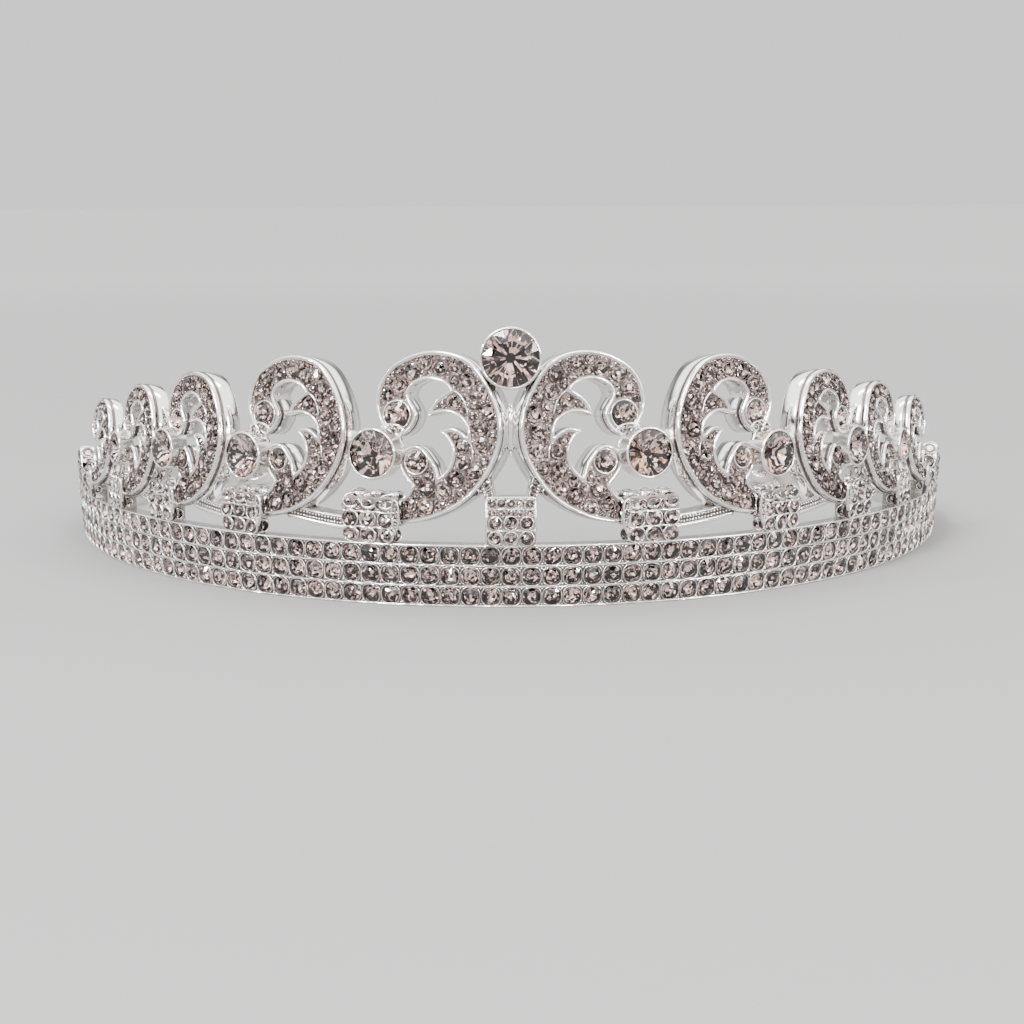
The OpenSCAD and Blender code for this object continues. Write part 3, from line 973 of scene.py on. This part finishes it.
def make_band():
    spots = [
        band_spot(side, j * STONE_PITCH, row_middle(i), 0.3)
        for i in range(ROWS) for j in range(STONES_EACH_SIDE + 1)
        for side in ([1] if j == 0 else [-1, 1])]
    stones = Build()
    stone_set(stones, [m @ shift(0, 0.06, 0) for m in spots], BAND_STONE_D, 5, DEEP_CUTS)
    piece = stones.finish("band_stones_cut", STONE_MATERIALS, "small_stones")
    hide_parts("band_stones")
    collets = Build()
    askew = random.normal(0, 1.5, (2, len(spots)))
    ring = round_profile(1, 1, 24)
    squarish = np.sign(ring) * np.abs(ring) ** (2 / 2.7) * [1.4, 1.38]
    collets.add(
        loop(squarish, COLLET_WALL),
        [m @ spin("x", tilt - 3) @ spin("y", roll) for m, tilt, roll in zip(spots, *askew)])
    between = [
        band_spot(side, (j + 0.5) * STONE_PITCH, row_middle(i) + dz, 0.1) @ shift(0, 0.12, 0)
        for i in range(ROWS) for j in range(STONES_EACH_SIDE) for side in (-1, 1)
        for dz in (-1.12, 1.12)]
    add_balls(collets, between, 0.16)
    collets.finish("band_collets", [silver], "metal")


def top_of_band(s):
    beyond = plan(s)[1] - (BEND_Y - REAR_R * np.cos(rad(TAPER_FROM)))
    return BAND_H - max(0.0, beyond) * np.tan(rad(TAPER_ANGLE))


def make_band_lines():
    """Lines between the rows, waved by the collets, and the rounded edges of the band."""
    lines = Build()
    last = (STONES_EACH_SIDE + 0.5) * STONE_PITCH
    flat = 0.1

    def wave(s):
        return 0.14 * (abs(np.cos(np.pi * s / STONE_PITCH)) - 0.5) if s < last else 0.0

    heights = [
        (lambda s: 0.17, 0.17, 0.16),
        (lambda s: ROW_H + wave(s), 0.10, 0.15),
        (lambda s: min(2 * ROW_H + wave(s), top_of_band(s) - 0.25), 0.10, 0.15),
        (lambda s: top_of_band(s) - 0.17, 0.18, 0.2)]
    lengths = np.arange(-END_LEN + 0.3, END_LEN - 0.29, STONE_PITCH / 8)
    for height, half, proud in heights:
        spots = np.array([
            band_spot(1 if s >= 0 else -1, abs(s), height(abs(s)), proud) for s in lengths])
        section = round_profile(proud + flat, half, 8, (-flat, 0.0))
        lines.add(sweep(spots[:, :3, 3], -spots[:, :3, 1], spots[:, :3, 2], section, False))
    lines.finish("band_lines", [silver], "metal")


# Centre stone and link stones

def link_frame(i, side):
    s, z, _ = LINKS[i]
    return on_band(side, s, z, LINK_TURN, LINK_TILT) @ shift(0, LINK_Y, 0)


def make_big_stones():
    centre = shift(0, CENTRE_STONE_Y - CENTRE_Y, CENTRE_Z) @ spin("x", -CENTRE_TILT)
    stones = [("centre_stone", "", centre, CENTRE_D, 8)]
    stones += [
        ("link_stone", f"_{i + 1}_{word}", link_frame(i, side), LINKS[i][2], 6)
        for i in range(len(LINKS)) for side, word in HANDS.items()]
    rims = Build()
    for kind, which, at, d, rays in stones:
        rims.add(collet_shape(d / 2 - 0.03, d / 2 + 0.35, -0.15, 1.2, 8 * rays), at)
        big_stone(f"{kind}_cut{which}", kind + which, at, d, chaton(rays))
    rims.finish("stone_rims", [silver], "metal")


# Blocks, strips and bridge

def waved_bar(width, waves, height, r):
    a = np.linspace(-0.5, 0.5, 8 * waves + 1)
    drop = height * np.abs(np.cos(np.pi * a * waves + np.pi / 2 * (waves % 2 - 1)))
    return tube([(width * t, 0, -d) for t, d in zip(a, drop)], r)


def in_row(base, xs, y, z, tilt):
    """Frames side by side at xs, tilted about the row."""
    return [base @ shift(x, y, z) @ spin("x", tilt) for x in xs]


def make_block(work, i, base):
    _, w, top, depth = BLOCKS[i]
    front = BLOCK_Y - 0.5
    step, fine_step = w / 3, w / 5
    d, small = step * 0.84, fine_step * 0.8
    columns = [(c - 1) * step for c in range(3)]
    fine = [(c - 2) * fine_step for c in range(5)]
    low_row = BLOCK_LOW + d * 0.5
    mid_row = low_row + d * 0.5 + small * 0.62
    frames = in_row(base, columns, BLOCK_Y + 0.1, top - d * 0.26, -40)
    frames += in_row(base, columns, front, low_row, -3)
    work.mounds(frames, d)
    work.mounds(in_row(base, fine, BLOCK_Y - 0.24, mid_row, 0), small)
    # Stones of the foot, stretched down to the band
    tall = grow(1, 1, (BLOCK_LOW - BAND_H) / d)
    foot = in_row(base, [x * 0.98 for x in columns], front, (BLOCK_LOW + BAND_H) / 2, 8)
    work.mounds([m @ tall for m in foot], d * 0.98)
    # One stone at each side of the foot
    k = w / BLOCKS[0][1]
    beside = w / 2 - FOOT_IN + 0.3 * k
    work.mounds([
        base @ shift(end * beside, BLOCK_Y + 0.75, BLOCK_LOW - 1.15) @ spin("z", end * 58)
        for end in (-1, 1)], 1.95 * k)
    # Rows on top
    rows = np.arange(BLOCK_Y + 0.3 + d * 1.05, BLOCK_Y + depth - d * 0.4, d)
    frames = [base @ shift(x, y, top + 0.28) @ spin("x", -90) for x in columns for y in rows]
    work.mounds(frames, d * 0.92)
    # Four stones on each side face
    work.mounds([
        base @ shift(end * (w / 2 + 0.25), y, z) @ spin("z", end * 90)
        for end in (-1, 1) for y in (BLOCK_Y + d * 0.75, BLOCK_Y + d * 1.8)
        for z in (low_row, top - d * 0.62)], d * 0.86)
    for z in (top - d * 0.85, BLOCK_LOW + 0.05):
        work.metal.add(waved_bar(w * 0.97, 3, 0.16, 0.13), base @ shift(0, front, z))
    corners = [(x + step / 2 * 0.98, BLOCK_Y - 0.1, low_row + d * 0.42) for x in columns]
    add_balls(work.metal, [base @ shift(*corner) for corner in corners], 0.2, 5, 8)


def set_plate(work, base, pts, r_low, r_high):
    """Small plate with a rounded rim, filled with stones in collars."""
    work.metal.add(loop(pts, round_profile(0.15, 0.3, 8, (0.12, 0.15))), base)
    verts = np.array([(x, 0.3, z) for x, z in [*pts, pts.mean(0)]])
    floor = np.array(spokes(len(pts), len(pts)))
    # The plate's floor takes slot 1, painted shade between the stones
    work.metal.add((verts, [(floor, 1, False)]), base)
    grid = grid_over(pts, 0.1)
    room = room_inside(grid, pts)
    frames = []
    while room.max() > r_low:
        x, z = grid[room.argmax()]
        r = min(room.max(), r_high)
        frames.append(base @ shift(x, 0.05, z) @ grow(r * 1.75))
        room = np.minimum(room, np.hypot(*(grid - [x, z]).T) - r)
    work.mounds(frames, 1)


# Curved plate at the end of a scroll's tail, in percent of the block's width and the plate's height
CLASP = [(1, 2, 1), (7, 60, 0), (3, 100, 1), (-6, 92, 0), (-9, 60, 0), (-7, 30, 0)]
CLASP_DROP = 1.2


def make_clasp(work, i, side, base):
    _, w, top, _ = BLOCKS[i]
    base = base @ shift(-side * w * 0.5, BLOCK_Y - 0.55, BLOCK_LOW - CLASP_DROP)
    h = top - BLOCK_LOW + CLASP_DROP
    table = [(x / 100 * w, z / 100 * h, corner) for x, z, corner in CLASP]
    set_plate(work, base, mirrored(table, PLATE_STEP, side), 0.3, 0.62)


# Polished lines of a strip: height, half of its width, how far it stands out
STRIP_LINES = [(0.32, 0.36, 0.34), (STRIP_H - 0.2, 0.2, 0.32)]
# The groove between them, with the same columns, is painted shade
STRIP_GROOVE = (1.15, 0.5, 0.05)
STRIP_BEADS = [0.88, 1.42]
STRIP_BEAD_PITCH = 0.44


def make_strip(metal, i, side):
    """Trim of the strip from a block to the next scroll."""
    start, end = BLOCKS[i][0], SCROLLS[i + 1][0]
    length = end - start + STRIP_LAP
    base = on_band(side, start + length / 2)

    def places(ts, height, depth):
        """Points of the strip, t from 0 at the block to 1 at the scroll."""
        rise = STRIP_LOW + STRIP_RISE * ts**2 + height
        points = zip(side * length * (ts - 0.5), rise)
        return np.array([point(base, (x, STRIP_Y + depth, z)) for x, z in points])

    def line(depth, height, half, proud):
        path = places(np.linspace(0, 1, 24), height, depth)
        return sweep(path, -base[None, :3, 1], base[None, :3, 2], round_profile(proud, half), False)

    for sizes in STRIP_LINES:
        metal.add(line(0.02, *sizes))
    # The groove is wholly in slot 1, painted shade
    metal.add(darken(line(0, *STRIP_GROOVE), 8, range(8)))
    beads = np.arange(0, 1, STRIP_BEAD_PITCH / (end - start))
    for height in STRIP_BEADS:
        add_balls(metal, places(beads, height, -0.02), 0.2)


# Rows of stones on the bridge: height, diameter, number, and how many spacings its width holds
BRIDGE_ROWS = [(10.05, 2.0, 3, 3.2), (12.2, 1.9, 3, 3.2), (13.6, 1.05, 5, 5.3), (14.95, 1.25, 5, 5.3)]
# Bars across the bridge: height, number of waves, height of the waves
BRIDGE_BARS = [(11.15, 3, 0.12), (14.2, 3, 0.12), (15.72, 1, 0)]


def make_bridge(work):
    base = shift(0, BRIDGE_Y - CENTRE_Y, 0)
    for z, d, count, spacings in BRIDGE_ROWS:
        step = BRIDGE_W / spacings
        xs = [(k - (count - 1) / 2) * step for k in range(count)]
        frames = in_row(base, xs, -0.22 * d, z, -2)
        work.mounds(frames, d)
        corners = [(x * step / 2, 0.05, y * d * 0.5) for x in (-1, 1) for y in (-1, 1)]
        add_balls(work.metal, [m @ shift(*corner) for m in frames for corner in corners], 0.17)
    for z, waves, height in BRIDGE_BARS:
        work.metal.add(waved_bar(BRIDGE_W * 0.98, waves, height, 0.15), base @ shift(0, -0.1, z))
    for side in (-1, 1):
        edge = [(side * (BRIDGE_W / 2 - 0.1), -0.08, z) for z in (BAND_H, BRIDGE_TOP - 0.2)]
        work.metal.add(tube(edge, 0.17, (1, 0, 0)), base)


# Stones along each arm: diameter; and round its outer end: outwards, up, diameter
ARM_STONES = [1.15, 1.2, 1.3, 1.35]
ARM_CLUSTER = [(1.15, -0.45, 1.35), (0.35, -1.15, 1.2), (1.35, -1.5, 1.1)]


def make_arms(work):
    """Stones in collars and beads along each bar from the bridge to the middle scrolls, with a cluster
    round its outer end.
    """
    for side in (-1, 1):
        low = np.array([side * (BRIDGE_W / 2 - 0.55), BRIDGE_Y - CENTRE_Y - 0.1, BRIDGE_TOP - 0.35])
        high = scroll_spot(0, side, 13, 27.5, 0.9)
        run = high - low
        set_at = [(low + run * k / 3.2, 0.25, 0.1, d) for k, d in enumerate(ARM_STONES)]
        set_at += [(high + (side * x, 0.1, z), 0.35, -0.15, d) for x, z, d in ARM_CLUSTER]
        for place, outwards, up, d in set_at:
            work.mounds([look_at(place, (side * outwards, -1, up))], d)
        beads = [low + run * t + (side * 0.55, 0.1, 0.45) for t in np.linspace(0.1, 0.9, 6)]
        add_balls(work.metal, beads, 0.24)


# Plate between the round ends of a scroll and its link stone, in percent of the scroll
CONNECTOR = [(76, 45, 0), (79, 50, 0), (76, 55, 0), (88, 58, 0), (97, 54, 0), (92, 44, 0), (82, 38, 0)]
# Stones on the rod behind it: share of the rod's run, depth
ROD_STONES = [(0.3, 1.0), (0.55, 0.9), (0.8, 0.6)]


def make_connectors(work):
    for side in (-1, 1):
        for i in range(len(LINKS)):
            base = scroll_frame(i, side) @ shift(0, -0.12, 0)
            table = [(*scroll_xz(i, 1, x, z), corner) for x, z, corner in CONNECTOR]
            k = SCROLLS[i][1] ** 1.5
            set_plate(work, base, mirrored(table, PLATE_STEP, side)[::-1], 0.26 * k, 0.56 * k)
            link = link_frame(i, side)
            start = point(link, (0, LINKS[i][2] * BIG_PAVILION, 0))
            run = scroll_spot(i, side, 86, 55, 1.3) - start
            frames = [shift(*(run * t)) @ link @ shift(0, y * k, 0) for t, y in ROD_STONES]
            work.mounds(frames, 1.25 * k)


# Solder of the middle scrolls and the centre stone: height from its middle, radius, half height
SOLDER = [(2.0, 0.34, 0.34), (-1.1, 0.85, 3.2), (-4.6, 0.3, 0.36)]


def make_small_work():
    work = Work()
    for i in range(len(BLOCKS)):
        for side in (-1, 1):
            base = on_band(side, BLOCKS[i][0], 0, BLOCK_TURN)
            make_block(work, i, base)
            make_clasp(work, i, side, base)
    make_bridge(work)
    make_arms(work)
    make_connectors(work)
    for i in range(len(LINKS)):
        for side in (-1, 1):
            make_strip(work.metal, i, side)
    for z, r, half in SOLDER:
        work.metal.add(ball(10, 14), shift(0, SOLDER_Y - CENTRE_Y, SOLDER_Z + z) @ grow(r, r, half))
    work.finish("small_work_stones", "small_work_metal")


# Ends

def make_leaves():
    work = Work()
    for side in (-1, 1):
        base = on_band(side, LEAF_AT, LEAF_FOOT) @ shift(0, LEAF_Y, 0)
        pts = sized_outline(LEAF_OUTLINE, LEAF_W, LEAF_H, side)
        set_field(work, base, pts, [], [], LEAF_SINK)
        work.metal.add(loop(pts, round_profile(0.27, 0.3, 10, (0.24, 0.1))), base)
        for across, up, d in LEAF_CLUSTER:
            x, z = side * (across / 100 - 0.5) * LEAF_W, up / 100 * LEAF_H
            at = base @ look_at((x * 0.94, LEAF_D / 2, z), (x, 0, 0.6 * (z - LEAF_H * 0.45)))
            work.mounds([at @ shift(0, -0.45, 0)], d)
    work.finish("leaf_stones", "leaf_rims")


def make_end_rings():
    metal = Build()
    middle = (RING_D + RING_HOLE_D) / 4
    half = (RING_D - RING_HOLE_D) / 4
    section = round_profile(half - 0.02, RING_T / 2 + 0.12, 14, (middle, 0.0))
    for side in (-1, 1):
        beside = shift(side * (RING_D / 2 - RING_LAP), RING_BACK - RING_T / 2, 0)
        metal.add(lathe(section, 40), on_band(side, END_LEN, RING_Z) @ beside)
    metal.finish("end_ring_faces", [silver], "metal")


# Everything on the object

for node in frame["nodes"].values():
    node.data.materials.clear()
    node.data.materials.append(cast_silver_and_painted_shade if node.name == "frame" else crystal)

make_band()
make_band_lines()
for index in range(len(SCROLLS)):
    for hand in HANDS:
        make_scroll(index, hand)
make_big_stones()
make_small_work()
make_leaves()
make_end_rings()


# Floor, light and camera

def floor_look(tree):
    """Darker near the object, where the lamps shine, so that floor and sky look alike."""
    far = tree.math("VectorMath", "Value", "LENGTH", tree.add("TexCoord", "Object", {}))
    near_tone, far_tone = (0.205, 0.2025, 0.2005), (0.318, 0.3155, 0.313)
    return {
        "Base Color": tree.ramp(far, [(0.15, near_tone), (1.0, far_tone)]),
        "Roughness": 0.8, "Specular IOR Level": 0,
        "Normal": tree.bump(tree.noise(900), 0.1, 0.00005)}


def make_floor():
    """Round floor that runs far past the object on every side."""
    radii = np.array([150.0, 400.0, 1000.0, 3000.0, 9000.0, 30000.0])
    sides = 64
    rings = turned(radii, radii * 0, sides)[:, :, [0, 2, 1]].reshape(-1, 3)
    verts = np.vstack([rings, np.zeros((1, 3))]) * MM
    quads = grid_faces(len(radii), sides, False)[:, ::-1]
    mesh = bpy.data.meshes.new("floor")
    mesh.from_pydata(verts.tolist(), [], quads.tolist() + spokes(len(rings), sides))
    mesh.materials.append(make_material("pale_floor", floor_look))
    add_object("floor", mesh)


def make_world():
    """Sky, pale near the horizon and overhead and dark between, less dark behind the object."""
    world = bpy.data.worlds.new("studio")
    bpy.context.scene.world = world
    tree = Tree(world)
    place = tree.add("TexCoord", "Generated", {})
    height, depth = (tree.add("SeparateXYZ", axis, {0: place}) for axis in "ZY")
    low, high = (1.07, 1.065, 1.06), (3.4, 3.4, 3.4)
    dark, dim = (0.02, 0.02, 0.025), (0.25, 0.25, 0.255)
    front = tree.ramp(height, [
        (0.0, low), (0.14, low), (0.19, high), (0.30, high), (0.37, dark), (0.47, dark),
        (0.59, high), (1.0, high)])
    back = tree.ramp(height, [
        (0.0, low), (0.14, low), (0.24, dim), (0.34, dim), (0.5, high), (1.0, high)])
    behind = tree.ramp(depth, [(0.1, (0, 0, 0)), (0.45, (1, 1, 1))])
    tree.fill(tree.nodes["Background"], {"Color": tree.mix(behind, front, back), "Strength": 1})


def add_lamp(name, kind, place, towards, **settings):
    """Lamp at a place, in metres, that shines in a direction."""
    lamp = bpy.data.lights.new(name, kind)
    for key, value in settings.items():
        setattr(lamp, key, value)
    add_object(name, lamp, look_at(place, towards) @ spin("x", -90))


def area_lamp(name, place, size, watts, colour=(1, 1, 1)):
    """Rectangular lamp that shines on the front of the tiara."""
    place = np.array(place, float)
    add_lamp(
        name, "AREA", place * MM, np.array([0, -30, 20]) - place,
        shape="RECTANGLE", size=size[0] * MM, size_y=size[1] * MM, energy=watts, color=colour)


# Small lamps that glint in the stones
GLINTS = [
    (-60, -700, 330), (260, -560, 420), (-300, -520, 180), (420, -420, 170), (150, -640, 150),
    (-480, -200, 240)]


def make_light():
    make_world()
    add_lamp("sun", "SUN", np.zeros(3), (0.45, 0.55, -1.0), angle=rad(12), energy=3.0)
    area_lamp("key", (-350, -450, 520), (160, 160), 5)
    area_lamp("fill", (480, -320, 260), (90, 260), 2.5, (1, 0.93, 0.86))
    area_lamp("top", (0, 100, 600), (420, 160), 3)
    for k, place in enumerate(GLINTS):
        area_lamp(f"glint_{k + 1}", place, (32, 32), 1.4)


def make_camera():
    """The photograph's view: distances from the lower front edge of the band, lens and shift."""
    place = np.array([-1.65, -228.0 - CENTRE_Y, 55.6]) * MM
    pitch, roll = 10.44, 0.25
    focal_px, frame_px, middle_px = 1675.0, 1024.0, 499.1
    data = bpy.data.cameras.new("camera")
    data.sensor_width = 36
    data.lens = data.sensor_width * focal_px / frame_px
    data.shift_x = (frame_px / 2 - middle_px) / frame_px
    data.clip_start = 0.01
    at = shift(*place) @ spin("x", 90 - pitch) @ spin("z", -roll)
    camera = add_object("camera", data, at)
    bpy.context.scene.camera = camera


make_floor()
make_light()
make_camera()
